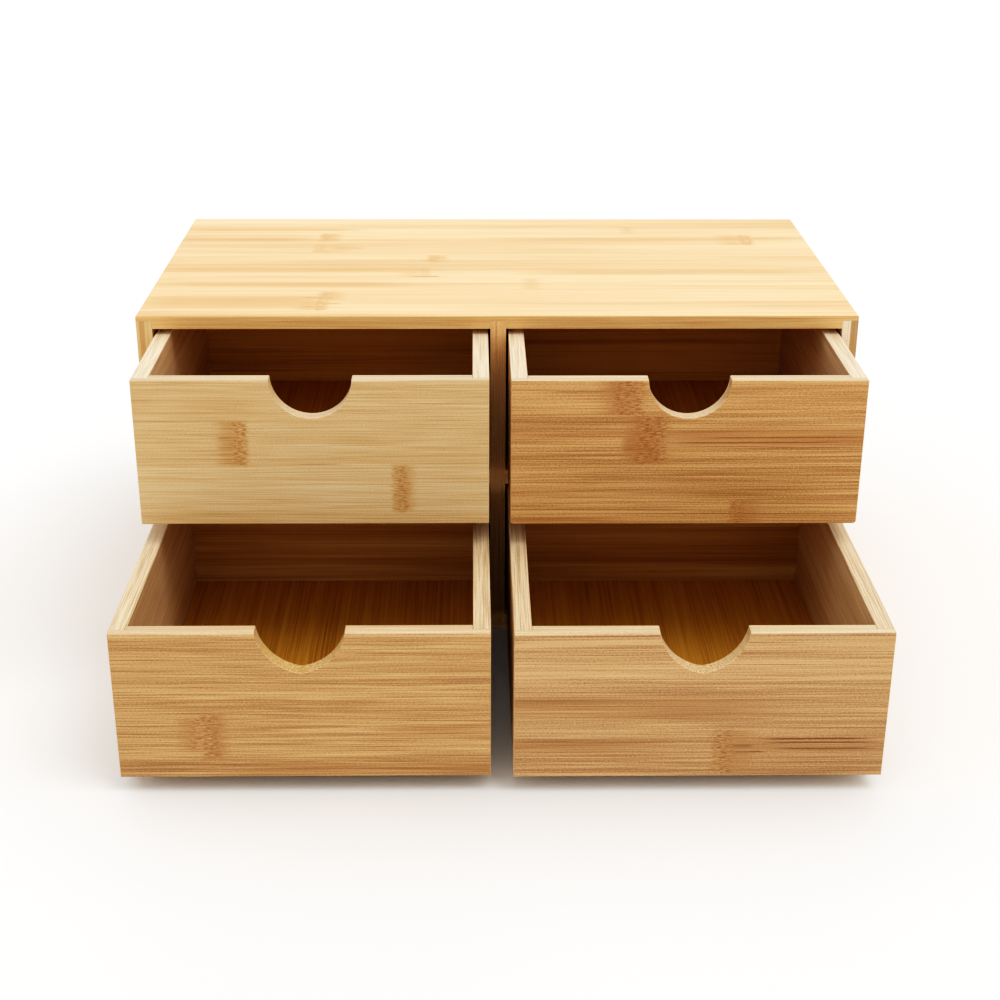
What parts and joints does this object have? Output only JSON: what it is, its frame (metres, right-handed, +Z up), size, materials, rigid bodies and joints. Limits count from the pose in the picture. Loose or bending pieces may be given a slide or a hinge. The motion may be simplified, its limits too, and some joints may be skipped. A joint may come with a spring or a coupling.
{
  "type": "desktop mini drawers",
  "caption": "Low wooden desktop cabinet of small drawers in two rows, with finger notches in the drawer fronts.",
  "frame": {"origin": "middle of the cabinet's underside, on the surface it stands on", "axes": "+Z up, -Y out of the drawers towards the user, +X to the right seen from the front"},
  "size_m": [0.33, 0.3258, 0.16],
  "materials": {
    "bamboo_pale": "satin",
    "bamboo_gold": "satin",
    "bamboo_light": "satin",
    "bamboo_panel": "satin"
  },
  "bodies": {
    "cabinet": {"top_panel": "bamboo_pale", "bottom_panel": "bamboo_pale", "left_side": "bamboo_pale", "right_side": "bamboo_pale", "centre_divider": "bamboo_pale", "left_shelf": "bamboo_pale", "right_shelf": "bamboo_pale", "back_panel": "bamboo_panel"},
    "upper_left_drawer": {"upper_left_drawer_front": "bamboo_gold", "upper_left_drawer_left_side": "bamboo_light", "upper_left_drawer_right_side": "bamboo_light", "upper_left_drawer_back": "bamboo_light", "upper_left_drawer_bottom": "bamboo_panel"},
    "upper_right_drawer": {"upper_right_drawer_front": "bamboo_gold", "upper_right_drawer_left_side": "bamboo_light", "upper_right_drawer_right_side": "bamboo_light", "upper_right_drawer_back": "bamboo_light", "upper_right_drawer_bottom": "bamboo_panel"},
    "lower_left_drawer": {"lower_left_drawer_front": "bamboo_gold", "lower_left_drawer_left_side": "bamboo_light", "lower_left_drawer_right_side": "bamboo_light", "lower_left_drawer_back": "bamboo_light", "lower_left_drawer_bottom": "bamboo_panel"},
    "lower_right_drawer": {"lower_right_drawer_front": "bamboo_gold", "lower_right_drawer_left_side": "bamboo_light", "lower_right_drawer_right_side": "bamboo_light", "lower_right_drawer_back": "bamboo_light", "lower_right_drawer_bottom": "bamboo_panel"}
  },
  "joints": [
    {"name": "upper_left_drawer_slide", "type": "slide", "parent": "cabinet", "child": "upper_left_drawer", "axis": [0, -1, 0], "range_m": [-0.0625, 0.0895]},
    {"name": "upper_right_drawer_slide", "type": "slide", "parent": "cabinet", "child": "upper_right_drawer", "axis": [0, -1, 0], "range_m": [-0.0633, 0.0887]},
    {"name": "lower_left_drawer_slide", "type": "slide", "parent": "cabinet", "child": "lower_left_drawer", "axis": [0, -1, 0], "range_m": [-0.1447, 0.0073]},
    {"name": "lower_right_drawer_slide", "type": "slide", "parent": "cabinet", "child": "lower_right_drawer", "axis": [0, -1, 0], "range_m": [-0.1458, 0.0062]}
  ]
}
